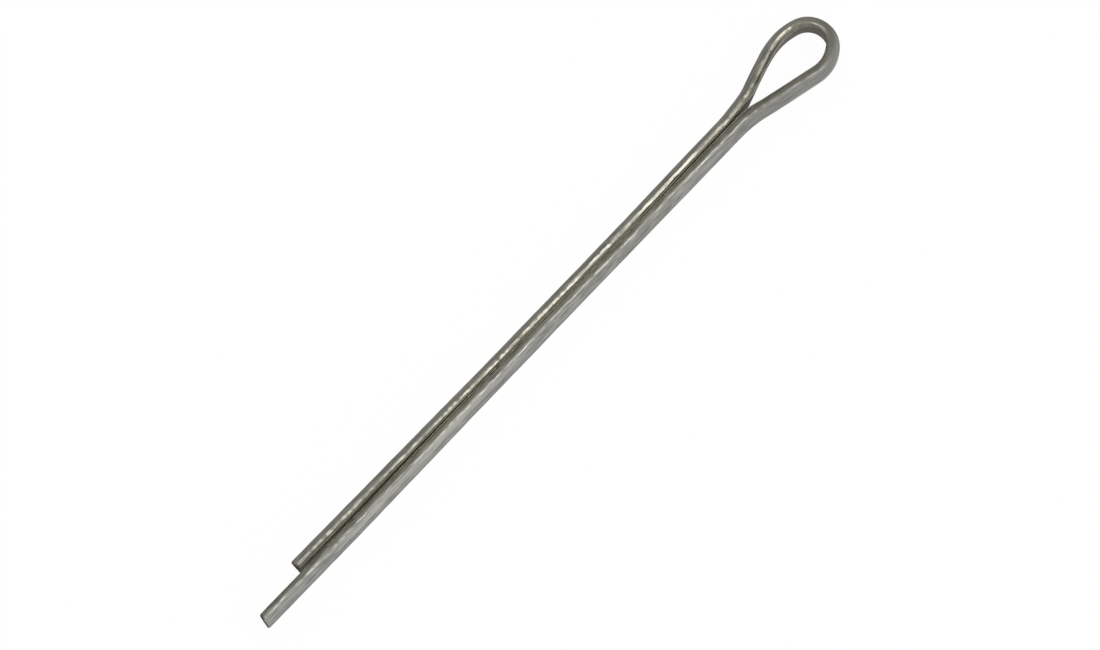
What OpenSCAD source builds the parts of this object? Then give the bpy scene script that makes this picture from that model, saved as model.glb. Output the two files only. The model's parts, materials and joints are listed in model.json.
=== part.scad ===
// Cotter pin with an extended prong: one length of half-round wire, folded flat to flat
// around an eye. X runs along the shank from the eye to the legs' ends, Y goes across the
// two flats with the long leg on +Y, and Z is up as the pin lies on its side. The origin is
// on the shank's axis at the seat, where the shank ends and the eye begins to open.
// Sizes are in millimetres and angles in degrees.

/* [Wire] */
// Diameter of the shank, both legs laid flat to flat
shank_diameter = 3.05; // [2.4:0.05:3.7]
// Gap left between the two flats where the legs lie together
flat_gap = 0.05; // [0.04:0.01:0.1]
// Radius rolled onto the two edges of the wire's flat
edge_radius = 0.1; // [0.05:0.05:0.3]

/* [Legs] */
// Short leg, from the seat to its end
short_leg_length = 72.5; // [50:0.1:120]
// How far the long leg runs past the short one
leg_extension = 7.3; // [3:0.1:15]
// Seat to the place where the legs start to spring apart
spring_start = 25; // [10:0.5:45]
// Radius of the slight bow by which each leg springs away from the other
spring_radius = 6200; // [4000:100:9000]

/* [Cut ends] */
// Length at each leg's end that the shears bent a little further outward
tip_length = 3; // [2:0.5:5]
// Radius of that bend
tip_radius = 600; // [300:50:1500]
// Slant of the long leg's end, which leaves its round side longer
long_cut_slant = 12.5; // [0:0.5:20]
// Slant of the short leg's end, which leaves its round side longer
short_cut_slant = 5; // [0:0.5:20]

/* [Far end of the eye] */
// Inside radius of the eye's far end
crown_radius = 2.2; // [1.8:0.05:3]
// How far the centre of the far end lies from the shank's axis, toward the long leg
crown_offset = -0.12; // [-0.4:0.01:0.4]

/* [Long leg's side of the eye] */
// Radius of the bend next to the far end, on the wire's flat
long_shoulder_radius = 3.75; // [3:0.05:5]
// Angle that this bend turns through
long_shoulder_turn = 50.5; // [30:0.5:65]
// Angle to the shank at which the bend runs out into the flank
long_flank_angle = 12; // [9:0.1:15]
// Radius of the flank's slight bow
long_flank_radius = 200; // [100:10:400]
// Radius of the bend that brings the wire back to the shank, on its flat
long_neck_radius = 16.4; // [5:0.1:20]

/* [Short leg's side of the eye] */
// Radius of the bend next to the far end, on the wire's flat
short_shoulder_radius = 8.6; // [6:0.1:11]
// Angle that this bend turns through
short_shoulder_turn = 34; // [20:0.5:42]
// Angle to the shank at which the bend runs out into the flank
short_flank_angle = 15.7; // [13:0.1:19]
// Radius of the flank's slight bow
short_flank_radius = 80; // [60:5:200]
// Radius of the bend that brings the wire back to the shank, on its flat
short_neck_radius = 19.5; // [12:0.5:25]

/* [Hidden] */
$fn = 96;

shank_radius = shank_diameter / 2;
half_gap = flat_gap / 2;
long_leg_length = short_leg_length + leg_extension;

// The wire's profile has its flat on x = 0 and its round toward +X.
round_centre = [-half_gap, 0];
edge_centre = [edge_radius,
               sqrt(pow(shank_radius - edge_radius, 2) - pow(edge_radius + half_gap, 2))];
// Unit direction in which the rolled edge meets the round.
edge_to_round = (edge_centre - round_centre) / (shank_radius - edge_radius);

// One side of the eye: [shoulder radius, shoulder turn, flank angle, flank radius,
// neck radius, crown offset toward its own leg]. Either side is drawn with its leg
// toward +Y, and the short one is then mirrored.
LONG_SIDE = [long_shoulder_radius, long_shoulder_turn, long_flank_angle, long_flank_radius,
             long_neck_radius, crown_offset];
SHORT_SIDE = [short_shoulder_radius, short_shoulder_turn, short_flank_angle,
              short_flank_radius, short_neck_radius, -crown_offset];
function shoulder_radius(side) = side[0];
function shoulder_turn(side) = side[1];
function flank_angle(side) = side[2];
function flank_radius(side) = side[3];
function neck_radius(side) = side[4];
function offset_toward_leg(side) = side[5];

function at_angle(radius, angle) = radius * [cos(angle), sin(angle)];
function to_thousandth(number) = round(number * 1000) / 1000;

// Where the bends meet, as angles around their centres from +X toward the side's leg.
function crown_end(side) = 90 - flank_angle(side) + shoulder_turn(side);
function shoulder_end(side) = 90 - flank_angle(side);
function flank_end(side) = 90 - neck_turn(side);

// Centres of the bends, counted from the point of the shank's axis beside the crown.
function shoulder_centre(side) = [0, offset_toward_leg(side)]
    + at_angle(crown_radius - shoulder_radius(side), crown_end(side));
function flank_centre(side) = shoulder_centre(side)
    + at_angle(shoulder_radius(side) - flank_radius(side), shoulder_end(side));
function neck_centre(side) = flank_centre(side)
    + at_angle(flank_radius(side) + neck_radius(side), flank_end(side));

// The neck turns just so far that the wire's flat comes down to the gap.
function neck_turn(side) =
    let (drop = neck_radius(side) + half_gap - flank_centre(side)[1],
         reach = neck_radius(side) + flank_radius(side))
    to_thousandth(acos(drop / reach));

// The side that joins the shank further toward the legs' ends sets the seat.
crown_x = -max(neck_centre(LONG_SIDE)[0], neck_centre(SHORT_SIDE)[0]);
function from_seat(place) = place + [crown_x, 0];
function leg_start(side) = from_seat(neck_centre(side)) - [0, neck_radius(side)];

// The legs are drawn this much too long and then cut.
cut_allowance = shank_diameter;
cutter_size = 4 * shank_diameter;

// Moves to a place in a coarse step and a fine one. An exported number keeps six digits,
// and in two steps the lengths of wire still meet face to face.
module at_place(place) {
    coarse = [for (part = place) round(part * 100) / 100];
    translate(coarse) translate(place - coarse) children();
}

// What the rolls take off one edge of the flat.
module rolled_edge_waste() {
    difference() {
        polygon([
            edge_centre,
            [-edge_radius, edge_centre[1]],
            [-edge_radius, shank_diameter],
            edge_centre + shank_radius * edge_to_round
        ]);
        at_place(edge_centre) circle(edge_radius);
    }
}

// Half-round profile of the wire.
module wire_profile() {
    difference() {
        translate(round_centre) circle(shank_radius);
        translate([-shank_diameter, -shank_diameter])
            square([shank_diameter, 2 * shank_diameter]);
        rolled_edge_waste();
        mirror([0, 1]) rolled_edge_waste();
    }
}

// Straight wire from a place toward +X, with its round toward +Y.
module straight_wire(start, length) {
    at_place(start)
        rotate([90, 0, 90])
            linear_extrude(height = length) wire_profile();
}

// Bent wire about a centre, with its round away from the centre.
module bend_round_out(centre, radius, from_angle, to_angle) {
    at_place(centre)
        rotate_extrude(angle = to_angle - from_angle, start = from_angle)
            translate([radius, 0]) wire_profile();
}

// Bent wire about a centre, with its round toward the centre.
module bend_round_in(centre, radius, from_angle, to_angle) {
    at_place(centre)
        rotate_extrude(angle = to_angle - from_angle, start = from_angle)
            translate([radius, 0]) mirror([1, 0]) wire_profile();
}

// Far end of the eye, around which the wire is folded.
module crown() {
    bend_round_out([crown_x, crown_offset], crown_radius,
                   crown_end(LONG_SIDE), 360 - crown_end(SHORT_SIDE));
}

// Shoulder, flank and neck of one side of the eye.
module eye_side(side) {
    bend_round_out(from_seat(shoulder_centre(side)), shoulder_radius(side),
                   shoulder_end(side), crown_end(side));
    bend_round_out(from_seat(flank_centre(side)), flank_radius(side),
                   flank_end(side), shoulder_end(side));
    bend_round_in(from_seat(neck_centre(side)), neck_radius(side),
                  180 + flank_end(side), 270);
}

// Takes off what lies past a leg's end.
module cut_off(end, slant) {
    difference() {
        children();
        translate(end)
            rotate(-slant)
                translate([0, -cutter_size / 2, -cutter_size / 2])
                    cube([cutter_size, cutter_size, cutter_size]);
    }
}

// Leg of one side: straight, then bowed away from the other leg, then the cut tip.
module leg(side, length, slant) {
    start = leg_start(side);
    straight_length = to_thousandth(spring_start - start[0]);
    straight_wire(start, straight_length);

    bow_turn = to_thousandth(asin((length - tip_length - spring_start) / spring_radius));
    bow_centre = start + [straight_length, spring_radius];
    bend_round_in(bow_centre, spring_radius, 270, 270 + bow_turn);

    tip_centre = bow_centre + at_angle(spring_radius - tip_radius, 270 + bow_turn);
    end_turn = asin((length - tip_centre[0]) / tip_radius);
    drawn_turn = asin((length - tip_centre[0] + cut_allowance) / tip_radius);
    cut_off(tip_centre + at_angle(tip_radius, 270 + end_turn), slant)
        bend_round_in(tip_centre, tip_radius, 270 + bow_turn, 270 + drawn_turn);
}

module cotter_pin() {
    color([0.53, 0.53, 0.5])
        union() {
            crown();
            eye_side(LONG_SIDE);
            leg(LONG_SIDE, long_leg_length, long_cut_slant);
            mirror([0, 1, 0]) {
                eye_side(SHORT_SIDE);
                leg(SHORT_SIDE, short_leg_length, short_cut_slant);
            }
        }
}

cotter_pin();
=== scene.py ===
# %% [markdown]
# # The looks of a cotter pin
#
# A cotter pin is one length of half-round steel wire, folded flat to flat around an eye.
# The pin comes in as a plain solid of the right size. This lesson makes the wire that
# stands for it, with the small unevenness and the finish of real drawn wire, then lights
# it and sets up the camera.
#
# The solid lies on its side, with X along the shank from the eye to the legs' ends, Y
# across the two flats to the long leg, and Z up. All sizes here are in metres, in that
# same frame.

# %% Load the solid
import json
import math

import bpy
import numpy as np
from mathutils import Matrix, Vector


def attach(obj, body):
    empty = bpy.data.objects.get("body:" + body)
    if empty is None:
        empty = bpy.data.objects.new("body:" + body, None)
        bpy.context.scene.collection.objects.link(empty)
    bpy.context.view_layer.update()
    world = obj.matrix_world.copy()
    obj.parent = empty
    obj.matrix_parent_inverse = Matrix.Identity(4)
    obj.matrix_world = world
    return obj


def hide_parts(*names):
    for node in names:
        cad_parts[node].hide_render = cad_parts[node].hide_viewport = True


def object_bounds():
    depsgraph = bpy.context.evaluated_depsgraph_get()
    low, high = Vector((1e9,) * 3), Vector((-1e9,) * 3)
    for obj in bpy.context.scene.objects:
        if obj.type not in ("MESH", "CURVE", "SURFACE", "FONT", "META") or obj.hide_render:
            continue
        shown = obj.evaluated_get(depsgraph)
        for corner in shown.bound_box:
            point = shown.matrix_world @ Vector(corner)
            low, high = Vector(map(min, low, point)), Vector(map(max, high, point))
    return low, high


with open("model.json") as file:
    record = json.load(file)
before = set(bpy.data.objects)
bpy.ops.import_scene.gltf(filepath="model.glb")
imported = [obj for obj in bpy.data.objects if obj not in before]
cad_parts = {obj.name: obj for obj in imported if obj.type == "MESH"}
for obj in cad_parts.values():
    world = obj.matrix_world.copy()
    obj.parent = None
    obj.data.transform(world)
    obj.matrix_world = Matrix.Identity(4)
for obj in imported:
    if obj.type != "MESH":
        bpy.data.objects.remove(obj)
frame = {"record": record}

MM = 0.001
solid_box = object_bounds()
print("solid, mm:", [round(side / MM, 2) for side in solid_box[1] - solid_box[0]])

# %% [markdown]
# ## The sizes of the wire
#
# The shank's radius is the radius of its mount. The bends aren't written in the solid, so
# they are given here once more: a tight bend at the far end of the eye, then on each leg's
# side a shoulder, a long and almost straight flank, and the neck that brings the wire back
# to the shank. All these radii are measured on the wire's flat, which is on the inside of
# the eye. Each leg then runs straight, springs a little away from the other, and has a tip
# that the shears bent a little more. The shears also cut each end at its own slant, and a
# little further out than it is drawn.

# %% Sizes
shank_radius = frame["record"]["mounts"][0]["dims"]["r_mm"] * MM
half_gap = 0.025 * MM
edge_radius = 0.1 * MM

spring_start = 25 * MM
spring_radius = 6200 * MM
tip_length = 3 * MM
tip_radius = 600 * MM
crown_radius = 2.2 * MM

LONG_SIDE = {
    "offset": -0.12 * MM,
    "shoulder_radius": 3.75 * MM,
    "shoulder_turn": math.radians(50.5),
    "flank_angle": math.radians(12),
    "flank_radius": 200 * MM,
    "neck_radius": 16.4 * MM,
    "leg_length": 79.8 * MM,
    "cut_slant": math.radians(15),
    "cut_further": 0.1 * MM,
}
SHORT_SIDE = {
    "offset": 0.12 * MM,
    "shoulder_radius": 8.6 * MM,
    "shoulder_turn": math.radians(34),
    "flank_angle": math.radians(15.7),
    "flank_radius": 80 * MM,
    "neck_radius": 19.5 * MM,
    "leg_length": 72.5 * MM,
    "cut_slant": math.radians(-4),
    "cut_further": 0.35 * MM,
}
print("shank, mm:", round(2 * shank_radius / MM, 3))

# %% [markdown]
# ## The line of the fold
#
# A maker folds the wire around a post and squeezes its two legs together. Here too the
# wire is first made straight, and then bent along a line. The line runs on the wire's
# flat, and it is a chain of arcs, each of which starts in the direction in which the last
# one ended. A Bezier curve would need fewer points, but it only comes close to an arc, so
# `arc` walks along each one in steps of a tenth of a millimetre. The line also runs a
# millimetre past both ends of the wire, because the slanted cuts leave the round side of
# the wire a little longer than its flat.

# %% The fold line
STEP = 0.1 * MM
PAST_THE_END = 1 * MM


def at_angle(radius, angle):
    return radius * np.array([math.cos(angle), math.sin(angle)])


def arc(centre, radius, start, end):
    """Points of an arc from one angle to another, without the last one."""
    count = max(2, math.ceil(abs(end - start) * radius / STEP))
    return [centre + at_angle(radius, start + (end - start) * i / count) for i in range(count)]


def eye_line(side):
    """Half of the eye, from its far end to the place where its leg begins, with Y toward the leg."""
    crown_end = math.pi / 2 - side["flank_angle"] + side["shoulder_turn"]
    shoulder_end = math.pi / 2 - side["flank_angle"]
    crown = np.array([0, side["offset"]])
    shoulder = crown + at_angle(crown_radius - side["shoulder_radius"], crown_end)
    flank = shoulder + at_angle(side["shoulder_radius"] - side["flank_radius"], shoulder_end)
    reach = side["neck_radius"] + side["flank_radius"]
    flank_end = math.pi / 2 - math.acos((side["neck_radius"] + half_gap - flank[1]) / reach)
    neck = flank + at_angle(reach, flank_end)
    points = arc(crown, crown_radius, math.pi, crown_end)
    points += arc(shoulder, side["shoulder_radius"], crown_end, shoulder_end)
    points += arc(flank, side["flank_radius"], shoulder_end, flank_end)
    points += arc(neck, side["neck_radius"], math.pi + flank_end, 1.5 * math.pi)
    return np.array(points), neck[0]


def leg_line(start, side):
    """A leg: straight, then bowed away from the other leg, then its tip and a little more."""
    straight = [[x, half_gap] for x in np.arange(start, spring_start, STEP)]
    down = 1.5 * math.pi
    bow = np.array([spring_start, half_gap + spring_radius])
    turn = math.asin((side["leg_length"] - tip_length - spring_start) / spring_radius)
    tip = bow + at_angle(spring_radius - tip_radius, down + turn)
    end = math.asin((side["leg_length"] + PAST_THE_END - tip[0]) / tip_radius)
    last = tip + at_angle(tip_radius, down + end)
    return np.array(straight + arc(bow, spring_radius, down, down + turn)
                    + arc(tip, tip_radius, down + turn, down + end) + [last])


def half_line(side, crown_x):
    """The line from the far end of the eye to one leg's end, with Y toward the leg."""
    eye, leg_start = eye_line(side)
    return np.vstack([eye + [crown_x, 0], leg_line(leg_start + crown_x, side)])


crown_x = -max(eye_line(side)[1] for side in (LONG_SIDE, SHORT_SIDE))
long_half = half_line(LONG_SIDE, crown_x)
short_half = half_line(SHORT_SIDE, crown_x)
print("seat to crown, mm:", round(crown_x / MM, 2))

# %% [markdown]
# Real wire doesn't lie quite as it is drawn, and a viewer notices at once: a perfect curve
# looks like a drawing. The short leg stands off by a tenth of a millimetre, and by another
# tenth or two near the neck and toward its end. The long leg's end comes back a little. The
# eye is skewed by a tenth, and its shoulder on the short leg's side is fuller. At the neck
# and halfway out, both legs are turned together about the shank, so that the slit between
# them runs off to one side. Round the eye the flat faces slightly down. `ease` spreads each
# of these changes over a length of the wire, between two places along X, with no kink, and
# `swell` lets one rise and fall again.

# %% How the real wire strays from the line
EYE_LEAN = math.radians(6)
EYE_SKEW = 0.035
SHOULDER_OUT = 0.1 * MM
LEG_TWIST = math.radians(7.5)
TWIST_LOST = 0.8
NECK_TWIST = math.radians(6)
NECK_OUT = 0.17 * MM
FLAT_PROUD = 0.05 * MM
SHORT_LEG_OUT = 0.1 * MM
LONG_LEG_IN = 0.18 * MM


def ease(x, start, end):
    """0 up to a place along X, 1 from another, and smooth between them, both in mm."""
    share = np.clip((x / MM - start) / (end - start), 0, 1)
    return share * share * (3 - 2 * share)


def swell(x, start, full, fading, end):
    """Rises from 0 to 1 between two places along X, and falls back between two others."""
    return ease(x, start, full) * (1 - ease(x, fading, end))


def far_in_the_eye(x):
    return 1 - ease(x, -17, -9)


def on_a_leg(x):
    return ease(x, -7, -1)


def eye_lean(x):
    return EYE_LEAN * (1 - on_a_leg(x))


def leg_twist(x):
    halfway_out = ease(x, 18, 34) - TWIST_LOST * ease(x, 42, 78)
    return NECK_TWIST * swell(x, -6, -3.7, 0, 14) + LEG_TWIST * halfway_out


long_half[:, 0] += EYE_SKEW * long_half[:, 1] * far_in_the_eye(long_half[:, 0])
short_half[:, 0] -= EYE_SKEW * short_half[:, 1] * far_in_the_eye(short_half[:, 0])
long_x = long_half[:, 0]
short_x = short_half[:, 0]
long_half[:, 1] -= LONG_LEG_IN * ease(long_x, 62, 84)
short_half[:, 1] += SHOULDER_OUT * swell(short_x, -18, -15, -14, -10.5)
short_half[:, 1] += 2 * FLAT_PROUD * on_a_leg(short_x)
short_half[:, 1] += NECK_OUT * swell(short_x, -6.5, -2.2, 2, 19)
short_half[:, 1] += SHORT_LEG_OUT * ease(short_x, 35, 62)
long_lean = eye_lean(long_x) + leg_twist(long_x)
short_lean = eye_lean(short_x) - leg_twist(short_x)

fold_line = np.vstack([long_half[::-1], short_half[1:] * [1, -1]])
fold_lean = np.concatenate([long_lean[::-1], short_lean[1:]])


def length_of(points):
    return np.linalg.norm(np.diff(points, axis=0), axis=1).sum()


line_length = length_of(fold_line)
crown_place = length_of(long_half) - PAST_THE_END
print("line, mm:", round(line_length / MM, 2), "in", len(fold_line), "points")
print("long leg's end to crown, mm:", round(crown_place / MM, 2))

# %% [markdown]
# ## The straight wire
#
# Half-round wire is round wire rolled flat on one side. So a cylinder as long as the line
# is cut in half along its length, and the two sharp edges left by the cut are rounded with
# a bevel. It has 38 sides, because then none of its corners lies close to the cut, where it
# would leave a sliver. The flat stands a little proud of the line, because the wire is a
# little fuller than half round. In edit mode an operator acts on all that is selected, so a
# helper first selects just the faces or edges that pass a test of where they are and which
# way they face or run.

# %% Helpers for edit mode
def deselect_all():
    bpy.ops.object.select_all(action="DESELECT")


def select(piece, kind, test):
    """Selects the faces, or edges, whose middle and normal, or direction, pass a test."""
    bpy.ops.mesh.select_mode(type=kind)
    bpy.ops.mesh.select_all(action="DESELECT")
    bpy.ops.object.mode_set(mode="OBJECT")
    mesh = piece.data
    if kind == "FACE":
        for face in mesh.polygons:
            face.select = bool(test(face.center, face.normal))
        count = sum(face.select for face in mesh.polygons)
    else:
        places = [vertex.co.copy() for vertex in mesh.vertices]
        for edge in mesh.edges:
            first, last = (places[end] for end in edge.vertices)
            edge.select = bool(test((first + last) / 2, (last - first).normalized()))
        count = sum(edge.select for edge in mesh.edges)
    bpy.ops.object.mode_set(mode="EDIT")
    return count


# %% A cylinder, cut in half
EXACT = 1e-7
ROUND_SIDES = 38

deselect_all()
bpy.ops.mesh.primitive_cylinder_add(
    vertices=ROUND_SIDES, radius=shank_radius, depth=line_length, end_fill_type="NGON",
    location=(line_length / 2, half_gap, 0), rotation=(0, math.pi / 2, 0))
wire = bpy.context.object
wire.name = "folded_wire"
bpy.ops.object.transform_apply(location=True, rotation=True, scale=True)
bpy.ops.object.mode_set(mode="EDIT")
bpy.ops.mesh.select_all(action="SELECT")
bpy.ops.mesh.bisect(plane_co=(0, FLAT_PROUD, 0), plane_no=(0, 1, 0),
                    use_fill=True, clear_outer=True, threshold=EXACT)
bpy.ops.object.mode_set(mode="OBJECT")
print("half-round, mm:", [round(side / MM, 3) for side in wire.dimensions])

# %% The two edges of the flat are rounded
SAME_WAY = 0.999
EDGE_SEGMENTS = 5


def sharp_edge(middle, along):
    return abs(along.x) > SAME_WAY and middle.y > FLAT_PROUD / 2


bpy.ops.object.mode_set(mode="EDIT")
sharp = select(wire, "EDGE", sharp_edge)
bpy.ops.mesh.bevel(offset=edge_radius, segments=EDGE_SEGMENTS, profile=0.5, clamp_overlap=False)
bpy.ops.object.mode_set(mode="OBJECT")
print("edges rounded:", sharp, "faces now:", len(wire.data.polygons))

# %% [markdown]
# The flat is still one long face, which would have to stay flat round the eye. Cuts along
# it and rings across it give the fold and the unevenness something to move. An edge that
# runs along the wire is subdivided twice, because one subdivision makes too few cuts.

# %% The flat gets lengthwise strips
FLAT_STRIPS = 8

bpy.ops.object.mode_set(mode="EDIT")
flat_width = 2 * (shank_radius - edge_radius)
for strip in range(1, FLAT_STRIPS):
    select(wire, "FACE", lambda middle, normal: normal.y > SAME_WAY)
    bpy.ops.mesh.bisect(plane_co=(0, 0, flat_width * (strip / FLAT_STRIPS - 0.5)),
                        plane_no=(0, 0, 1), threshold=EXACT)
bpy.ops.object.mode_set(mode="OBJECT")
print("faces now:", len(wire.data.polygons))

# %% [markdown]
# ## The sheared ends
#
# Shears press into the wire before they part it. That draws the rim of the cut in and
# leaves its middle a little proud. So each end is cut short with a slanted plane, which
# also leans down. Then its face is extruded a lot and scaled down a little, and again less
# far and smaller, which walks round a quarter of a circle and makes the drawn-in rim. The
# face is scaled about a point nearer its round side, because the shears drew the flat's
# side in more. The last face gets its crown from a point poked out of its middle.

# %% Cut, draw in and crown each end
CUT_LEAN = math.radians(7)
RIM = 0.3 * MM
RIM_SHRINK = 0.24
RIM_STEPS = 6
CROWN_HEIGHT = 0.02 * MM
DRAWN_TOWARD = Vector((0, -0.9 * MM, 0))

cuts = []
bpy.ops.object.mode_set(mode="EDIT")
ends = ((LONG_SIDE, PAST_THE_END, -1), (SHORT_SIDE, line_length - PAST_THE_END, 1))
for side, end_x, outward in ends:
    slanted = Vector((outward * math.cos(side["cut_slant"]), math.sin(side["cut_slant"]), 0))
    facing = math.cos(CUT_LEAN) * slanted - math.sin(CUT_LEAN) * Vector((0, 0, 1))
    face_middle = Vector((end_x + outward * side["cut_further"], 0, 0))
    bpy.ops.mesh.select_all(action="SELECT")
    bpy.ops.mesh.bisect(plane_co=face_middle - RIM * facing, plane_no=facing,
                        use_fill=True, clear_outer=True, threshold=EXACT)
    count = select(wire, "FACE", lambda middle, normal: normal.dot(facing) > SAME_WAY)
    centre = face_middle + DRAWN_TOWARD
    centre -= (RIM + DRAWN_TOWARD.dot(facing)) * facing
    size = 1
    for step in range(RIM_STEPS):
        last, now = (math.pi / 2 * i / RIM_STEPS for i in (step, step + 1))
        rise = RIM * (math.sin(now) - math.sin(last)) * facing
        smaller = 1 - RIM_SHRINK * (1 - math.cos(now))
        bpy.ops.mesh.extrude_region_move(TRANSFORM_OT_translate={"value": rise})
        centre += rise
        bpy.ops.transform.resize(value=[smaller / size] * 3, center_override=centre)
        size = smaller
    bpy.ops.mesh.inset(thickness=edge_radius / 4, depth=0)
    bpy.ops.mesh.poke(offset=CROWN_HEIGHT)
    cuts.append((face_middle, facing))
    print("faces across the cut:", count)
bpy.ops.object.mode_set(mode="OBJECT")
print("faces now:", len(wire.data.polygons))

# %% Rings across the wire
RING_CUTS = 39
CLEAR_OF_THE_ENDS = 2 * PAST_THE_END


def runs_along(middle, along):
    clear = CLEAR_OF_THE_ENDS < middle.x < line_length - CLEAR_OF_THE_ENDS
    return abs(along.x) > SAME_WAY and clear


bpy.ops.object.mode_set(mode="EDIT")
for turn in range(2):
    select(wire, "EDGE", runs_along)
    bpy.ops.mesh.subdivide(number_cuts=RING_CUTS)
bpy.ops.object.mode_set(mode="OBJECT")
print("faces:", len(wire.data.polygons), "rings:", (RING_CUTS + 1) ** 2)

# %% [markdown]
# ## The unevenness of drawn wire
#
# Wire that was drawn, rolled and straightened is never quite even: its surface rises and
# falls by a hundredth of a millimetre or two every few millimetres. That is what breaks a
# long highlight into dashes. Two Displace modifiers with soft clouds make it, a wide one and a
# short one. Before that, each point's place on the straight wire is stored on the mesh, as
# an attribute named `straight`. After the fold the finish can still read it, so that draw
# lines follow the wire round the eye. A second attribute, `sheared`, marks the cut ends.

# %% Where each point lies on the straight wire
straight = np.array([vertex.co for vertex in wire.data.vertices])
past_the_cuts = np.max([(straight - face_middle) @ facing for face_middle, facing in cuts], axis=0)
sheared = (past_the_cuts > -RIM / 2).astype(float)
straight[:, 0] -= PAST_THE_END
places = wire.data.attributes.new("straight", "FLOAT_VECTOR", "POINT")
places.data.foreach_set("vector", straight.ravel())
marks = wire.data.attributes.new("sheared", "FLOAT", "POINT")
marks.data.foreach_set("value", sheared)
wire_length = line_length - 2 * PAST_THE_END
print("wire, mm:", round(wire_length / MM, 2))


# %% Unevenness
def uneven(piece, name, width, height):
    """Lets the surface rise and fall by a height, in soft clouds of a width."""
    clouds = bpy.data.textures.new(name, "CLOUDS")
    clouds.noise_scale = width
    clouds.noise_depth = 0
    modifier = piece.modifiers.new(name, "DISPLACE")
    modifier.texture = clouds
    modifier.texture_coords = "LOCAL"
    modifier.strength = height
    modifier.mid_level = 0.5
    bpy.context.view_layer.objects.active = piece
    bpy.ops.object.modifier_apply(modifier=name)
    bpy.data.textures.remove(clouds)


uneven(wire, "straightener_marks", width=6 * MM, height=0.03 * MM)
uneven(wire, "roll_marks", width=1.6 * MM, height=0.03 * MM)
moved = np.array([vertex.co for vertex in wire.data.vertices])
moved[:, 0] -= PAST_THE_END
print("moved at most, mm:", round(np.linalg.norm(moved - straight, axis=1).max() / MM, 4))

# %% [markdown]
# ## The fold
#
# A Curve modifier carries the straight wire along the line: it reads how far along X a
# point lies, and puts it as far along the line, at the same distance to the side. The
# wire's round side ends up outside, because the line starts at the long leg's end. A curve
# in three dimensions can also turn what follows it, so each of its points is tilted by the
# lean that the wire has there.

# %% Fold
path_data = bpy.data.curves.new("fold_line", "CURVE")
path_data.dimensions = "3D"
path_data.twist_mode = "Z_UP"
path = path_data.splines.new("POLY")
path.points.add(len(fold_line) - 1)
for point, (x, y), lean in zip(path.points, fold_line, fold_lean):
    point.co = (x, y, 0, 1)
    point.tilt = -lean
line = bpy.data.objects.new("fold_line", path_data)
bpy.context.collection.objects.link(line)

fold = wire.modifiers.new("fold", "CURVE")
fold.object = line
fold.deform_axis = "POS_X"
bpy.context.view_layer.objects.active = wire
bpy.ops.object.modifier_apply(modifier=fold.name)
bpy.data.objects.remove(line)

SMOOTH_BELOW = math.radians(35)

deselect_all()
wire.select_set(True)
bpy.ops.object.shade_smooth_by_angle(angle=SMOOTH_BELOW)
corners = np.array([vertex.co for vertex in wire.data.vertices])
lowest = corners[:, 2].min()
print("folded, mm:", (corners.min(0) / MM).round(3), (corners.max(0) / MM).round(3))
print("solid, mm:", [[round(c / MM, 3) for c in corner] for corner in solid_box])

# %% The wire stands for the solid
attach(wire, "root")
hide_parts("cotter_pin")

# %% [markdown]
# ## The steel
#
# The finish is worked out from values that change over the surface, so a small class wraps
# a node's output and gives it Python's own arithmetic. `1 - mask` then adds a Math node.
# Its one method, `node`, makes any other node from its type, its settings and its inputs.

# %% A small class for shader maths
class Value:
    """One output of a node, on which +, - and * add Math nodes."""

    def __init__(self, tree, socket=None):
        self.tree = tree
        self.socket = socket

    def node(self, kind, settings, inputs, output=0):
        made = self.tree.nodes.new(kind)
        for name, setting in settings.items():
            setattr(made, name, setting)
        for name, given in inputs.items():
            if isinstance(given, Value):
                self.tree.links.new(given.socket, made.inputs[name])
            else:
                made.inputs[name].default_value = given
        return Value(self.tree, made.outputs[output] if made.outputs else None)

    def maths(self, operation, first, second):
        return self.node("ShaderNodeMath", {"operation": operation}, {0: first, 1: second})

    def __add__(self, other):
        return self.maths("ADD", self, other)

    def __sub__(self, other):
        return self.maths("SUBTRACT", self, other)

    def __mul__(self, other):
        return self.maths("MULTIPLY", self, other)

    def __radd__(self, other):
        return self.maths("ADD", other, self)

    def __rsub__(self, other):
        return self.maths("SUBTRACT", other, self)

    def __rmul__(self, other):
        return self.maths("MULTIPLY", other, self)

    def part(self, axis):
        """X, Y or Z of a vector."""
        return self.node("ShaderNodeSeparateXYZ", {}, {0: self}, output=axis)

    def step(self, low, high):
        """0 up to a low value, 1 from a high one, and smooth between them."""
        return self.node("ShaderNodeMapRange", {"interpolation_type": "SMOOTHSTEP"},
                         {"Value": self, "From Min": low, "From Max": high})

    def blend(self, first, second):
        """Mixes two colours, with this value as the share of the second."""
        inputs = {0: self, 6: first, 7: second}
        return self.node("ShaderNodeMix", {"data_type": "RGBA"}, inputs, output=2)

    def noise(self, stretch, scale, detail=2):
        """Noise over this vector, after each of its axes is scaled. A small scale draws it out."""
        stretched = self.node("ShaderNodeMapping", {}, {"Vector": self, "Scale": stretch})
        return self.node("ShaderNodeTexNoise", {}, {
            "Vector": stretched, "Scale": scale, "Detail": detail})


def colour(red, green, blue):
    return (red, green, blue, 1)
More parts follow.
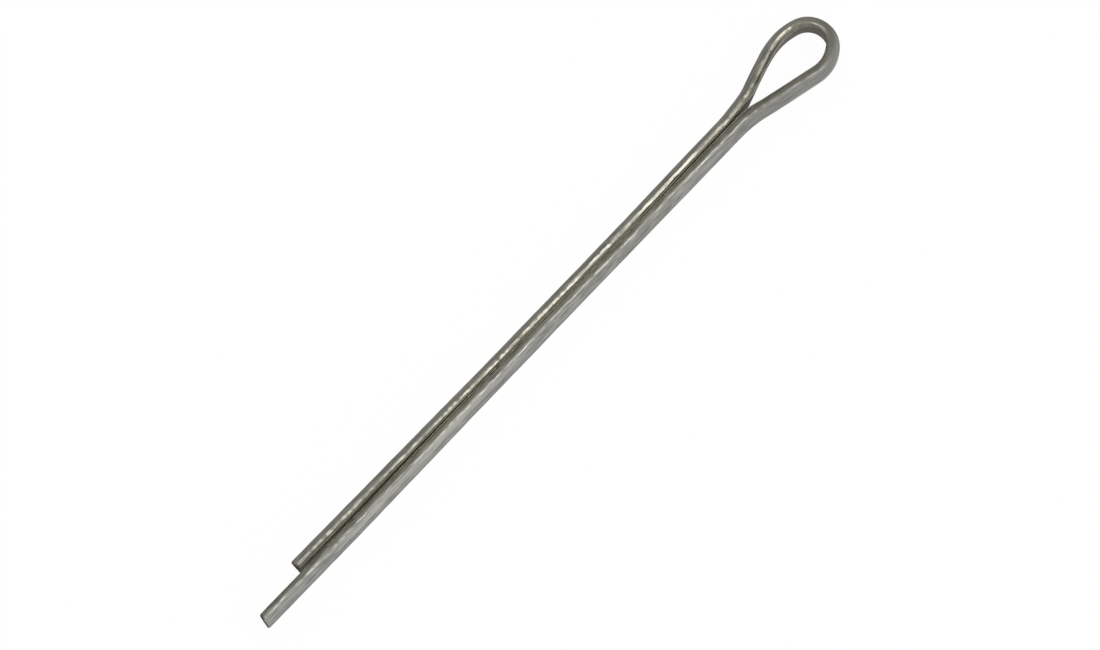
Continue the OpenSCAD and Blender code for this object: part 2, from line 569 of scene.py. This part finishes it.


# %% [markdown]
# The whole finish follows the wire, so all of it reads the attribute `straight`, here in
# millimetres: X along the wire, and Y up to the flat. A few masks say where on the wire a
# point is: on the legs or round the eye, toward the ends, on the long leg's side, next to
# the flat, or on it. A narrow stripe of the long leg is marked too, for a painted highlight
# band: it lies 1 mm up the side of the wire. A distance is squared to lose its sign.

# %% Where on the wire
steel = bpy.data.materials.new("drawn_steel")
steel.use_nodes = True
steel.node_tree.nodes.clear()
start = Value(steel.node_tree)
place = start.node("ShaderNodeAttribute", {"attribute_name": "straight"}, {}, output=1)
on_a_cut = start.node("ShaderNodeAttribute", {"attribute_name": "sheared"}, {}, output=2)
per_mm = start.node("ShaderNodeVectorMath", {"operation": "SCALE"}, {0: place, "Scale": 1 / MM})

along_wire = per_mm.part(0)
toward_flat = per_mm.part(1)
from_crown = along_wire - crown_place / MM
from_crown_squared = from_crown * from_crown
on_the_legs = from_crown_squared.step(14 ** 2, 20 ** 2)
toward_ends = from_crown_squared.step(48 ** 2, 68 ** 2)
long_side = 1 - from_crown.step(-3, 3)
next_to_the_flat = toward_flat.step(-0.2, 0)
on_the_flat = toward_flat.step(0.02, 0.045)

# The stripe carries a painted highlight band on the long leg.
STRIPE_PLACE = 1.02
from_stripe = per_mm.part(2) - STRIPE_PLACE
on_the_highlight_stripe = 1 - (from_stripe * from_stripe).step(0.12 ** 2, 0.3 ** 2)
on_the_highlight_stripe = on_the_highlight_stripe * along_wire.step(8, 16) * (1 - along_wire.step(34, 46))
print("nodes so far:", len(steel.node_tree.nodes))

# %% [markdown]
# Drawing the wire through a die leaves fine lines along it, some bright and some dull with
# the lubricant that was burnt into them. Noise that is drawn out along the wire makes
# them, in two sizes. A stripe on the long leg is painted lighter, a painted highlight band.
# The long leg's side of the eye is painted duller, as painted shade. The strips beside the
# legs' flats are painted darker and browner, as painted shade along the slit, and the legs'
# flats a lighter brown, as painted light in the slit. A sheared end is dark and grainy,
# where the metal tore.

# %% Colour
draw_lines = per_mm.noise((0.06, 1, 1), 3)
fine_lines = per_mm.noise((0.08, 1, 1), 7)
lines = fine_lines.step(0.4, 0.6)

bright = colour(0.45, 0.447, 0.435)
dull_and_shade = colour(0.25, 0.247, 0.236)
stripe_highlight = colour(0.6, 0.595, 0.575)
tarnish_and_shade = colour(0.18, 0.172, 0.138)
metal = (draw_lines * 0.35 + fine_lines * 0.65).step(0.36, 0.64).blend(dull_and_shade, bright)
# Painted highlight: the stripe on the long leg is painted lighter.
metal = (0.5 * on_the_highlight_stripe).blend(metal, stripe_highlight)
# Painted shade: the long leg's side of the eye is darkened toward the dull tone.
metal = (0.5 * long_side * (1 - on_the_legs)).blend(metal, dull_and_shade)
# Painted shade: the strips beside the legs' flats, along the slit between the legs, are darker and
# browner.
metal = (0.6 * next_to_the_flat * on_the_legs).blend(metal, tarnish_and_shade)

eye_flat = colour(0.37, 0.36, 0.31)
# Painted light in the slit: the legs' flats are painted lighter than the eye's.
leg_flat_and_slit_light = colour(0.52, 0.503, 0.405)
flat = on_the_legs.blend(eye_flat, leg_flat_and_slit_light)
flat = (lines * 0.35).blend(flat, tarnish_and_shade)
torn = lines.blend(colour(0.09, 0.088, 0.082), colour(0.17, 0.167, 0.158))
metal = on_a_cut.blend(on_the_flat.blend(metal, flat), torn)
print("nodes so far:", len(steel.node_tree.nodes))

# %% [markdown]
# Where the wire rubbed against other pins it is smoother, in patches a millimetre or two
# long, which makes a highlight wider and fainter in one place than in the next. Round the
# eye it is rougher, because a bend opens the skin of the metal. The relief is too fine for
# the mesh: shallow waves, and the draw lines, deeper toward the ends. Its heights are in
# millimetres. The flats of the legs show only a fifth of their bare metal and are mostly
# matte, so that with their lighter paint they stand in for light in the slit.

# %% Roughness and relief
patches = per_mm.noise((0.4, 1, 1), 1.1)
worn = 0.2 + 0.18 * patches.step(0.35, 0.65) - 0.04 * on_the_legs + 0.05 * toward_ends
rolled = 0.42 - 0.2 * on_the_legs
roughness = worn + on_the_flat * (rolled - worn)
roughness = roughness + on_a_cut * (0.5 - roughness)
# Painted light in the slit: the legs' flats are mostly matte, so that their lighter paint shows.
bare = 1 - 0.8 * (on_the_flat * on_the_legs)

waves = per_mm.noise((1, 0.4, 0.4), 1.2, detail=0)
line_depth = 0.002 + 0.002 * on_the_legs + 0.008 * toward_ends
height = 0.05 * waves + draw_lines * line_depth + 0.0015 * fine_lines
relief = start.node("ShaderNodeBump", {}, {"Strength": 1, "Distance": MM, "Height": height})
print("nodes so far:", len(steel.node_tree.nodes))

# %% The steel
shader = start.node("ShaderNodeBsdfPrincipled", {}, {
    "Base Color": metal, "Metallic": bare, "Roughness": roughness, "Normal": relief})
start.node("ShaderNodeOutputMaterial", {}, {0: shader})
wire.data.materials.clear()
wire.data.materials.append(steel)
print("nodes in the steel:", len(steel.node_tree.nodes))

# %% [markdown]
# ## The floor
#
# The pin lies on a plain white floor. White paint under these lamps would look grey, and
# more light would burn out the metal. So the floor has a grey paint, which takes the pin's
# shadow, and a white glow over it. The camera sees nine parts of glow and one of paint. The
# metal's reflections get a smaller share, and the least of it on the short leg's side, as
# from a table that is lit from the long leg's side.

# %% Floor
FLOOR_SIZE = 6
GLOW_SEEN = 0.9
GLOW_REFLECTED = 0.18
MORE_ON_THE_LIT_SIDE = 0.45
GLOW_STRENGTH = 1.08

deselect_all()
bpy.ops.mesh.primitive_plane_add(size=FLOOR_SIZE, location=(0, 0, lowest))
floor = bpy.context.object
floor.name = "floor"

white = bpy.data.materials.new("white_floor")
white.use_nodes = True
white.node_tree.nodes.clear()
start = Value(white.node_tree)
ray = {name: start.node("ShaderNodeLightPath", {}, {}, output=name)
       for name in ("Is Camera Ray", "Is Glossy Ray", "Is Transmission Ray")}
across = start.node("ShaderNodeTexCoord", {}, {}, output="Object").part(1)
# Painted shadow in the reflections: the reflected glow stays low on the short leg's side and close
# to the pin, and rises from 1.4 to 3.6 mm out on the long leg's side.
lit_side = across.step(1.4 * MM, 3.6 * MM)
reflected = ray["Is Glossy Ray"] + ray["Is Transmission Ray"]
share_reflected = GLOW_REFLECTED + MORE_ON_THE_LIT_SIDE * lit_side
glowing = ray["Is Camera Ray"] * GLOW_SEEN + reflected * share_reflected
paint = start.node("ShaderNodeBsdfDiffuse", {}, {"Color": colour(0.5, 0.5, 0.5)})
glow = start.node("ShaderNodeEmission", {}, {"Color": colour(1, 1, 1), "Strength": GLOW_STRENGTH})
both = start.node("ShaderNodeMixShader", {}, {0: glowing, 1: paint, 2: glow})
start.node("ShaderNodeOutputMaterial", {}, {0: both})
floor.data.materials.append(white)
print("floor at, mm:", round(lowest / MM, 3), "nodes in its paint:", len(white.node_tree.nodes))

# %% [markdown]
# ## The light
#
# Round wire works as a narrow mirror: it shows each lamp as a thin line, where its surface
# turns the view toward that lamp. So a lamp is given here by its direction and by its size
# in degrees, as the pin sees them. The key light stands behind the short leg and makes the
# bright dashed line along it. The side light makes the fainter one on the long leg. The
# end light, toward the eye, draws a streak down the far end of the eye.

# %% Light
middle = Vector(((solid_box[0].x + solid_box[1].x) / 2, 0, 0))
LAMP_DISTANCE = 1.5


def side_seen_as(degrees):
    """Length of a lamp's side that looks so many degrees long from the pin."""
    return 2 * LAMP_DISTANCE * math.tan(math.radians(degrees) / 2)


def soft_box(name, lean, along, turn, width, length, radiance, tint):
    """A lamp with its place, its turn and its size in degrees, as the pin sees them.

    It leans from straight up toward +Y, and then along the pin toward +X.
    """
    leaned = Matrix.Rotation(math.radians(-lean), 3, "X")
    moved_along = Matrix.Rotation(math.radians(along), 3, "Y")
    turned = Matrix.Rotation(math.radians(turn), 3, "Z")
    toward = (leaned @ moved_along @ turned).to_4x4()
    away = Matrix.Translation((0, 0, LAMP_DISTANCE))
    bpy.ops.object.light_add(type="AREA")
    lamp = bpy.context.object
    lamp.name = name
    lamp.matrix_world = Matrix.Translation(middle) @ toward @ away
    lamp.data.shape = "RECTANGLE"
    lamp.data.size = side_seen_as(length)
    lamp.data.size_y = side_seen_as(width)
    lamp.data.color = tint
    lamp.data.energy = radiance * math.pi * lamp.data.size * lamp.data.size_y
    print(name, "m:", round(lamp.data.size, 2), "x", round(lamp.data.size_y, 2))


soft_box("key_light", lean=-51, along=-16, turn=-15, width=30, length=10,
         radiance=2.8, tint=(1, 0.97, 0.87))
soft_box("side_light", lean=36, along=-14, turn=0, width=12, length=12,
         radiance=1.6, tint=(1, 0.99, 0.96))
soft_box("end_light", lean=-22, along=-40, turn=0, width=10, length=7,
         radiance=7, tint=(1, 0.98, 0.9))

# %% [markdown]
# What is left of the surface reflects the room. Its walls are a dull olive on the short
# leg's side and pale on the long leg's side, and a dark patch overhead makes the dark band
# between the short leg's highlight and the slit. The masks read a direction, each part of
# which runs from -1 to 1.

# %% The room
world = bpy.data.worlds.new("studio")
bpy.context.scene.world = world
world.use_nodes = True
world.node_tree.nodes.clear()
start = Value(world.node_tree)
direction = start.node("ShaderNodeTexCoord", {}, {}, output=0)
toward_long_leg = direction.part(1)
olive = colour(0.43, 0.425, 0.35)
pale = colour(0.84, 0.84, 0.8)
dark = colour(0.15, 0.147, 0.11)
walls = toward_long_leg.step(0.25, 0.6).blend(olive, pale)
overhead = toward_long_leg.step(-0.7, -0.5) * (1 - toward_long_leg.step(-0.2, -0.05))
overhead = overhead * direction.part(0).step(-0.5, -0.3)
room = overhead.blend(walls, dark)
background = start.node("ShaderNodeBackground", {}, {"Color": room, "Strength": 1})
start.node("ShaderNodeOutputWorld", {}, {0: background})
print("nodes in the room:", len(world.node_tree.nodes))

# %% [markdown]
# ## The camera
#
# A small part is best shown from a metre away with a long lens, which keeps both ends of
# it at the same scale. The camera leans from straight above toward the legs' ends, so that
# it sees over the short leg into the slit, and it is turned so that the pin lies across
# the frame from corner to corner.

# %% Camera
VIEW_TILT = math.radians(18.2)
VIEW_TURN = math.radians(47.52)
LOOK_AT = Vector((31.25, 0.63, 0)) * MM
PICTURE_WIDTH = 128.06 * MM
DISTANCE = 1
SENSOR_WIDTH = 36

camera_data = bpy.data.cameras.new("camera")
camera = bpy.data.objects.new("camera", camera_data)
bpy.context.collection.objects.link(camera)
right = Vector((-math.cos(VIEW_TURN), math.sin(VIEW_TURN), 0))
back = Vector((math.sin(VIEW_TILT) * math.sin(VIEW_TURN),
               math.sin(VIEW_TILT) * math.cos(VIEW_TURN), math.cos(VIEW_TILT)))
up = back.cross(right)
turned = Matrix((right, up, back)).transposed().to_4x4()
camera.matrix_world = Matrix.Translation(LOOK_AT + DISTANCE * back) @ turned
camera_data.sensor_width = SENSOR_WIDTH
camera_data.lens = SENSOR_WIDTH * DISTANCE / PICTURE_WIDTH
camera_data.clip_end = 2 * FLOOR_SIZE
bpy.context.scene.camera = camera

scene = bpy.context.scene
scene.view_settings.view_transform = "Standard"
print("lens, mm:", round(camera_data.lens, 1))
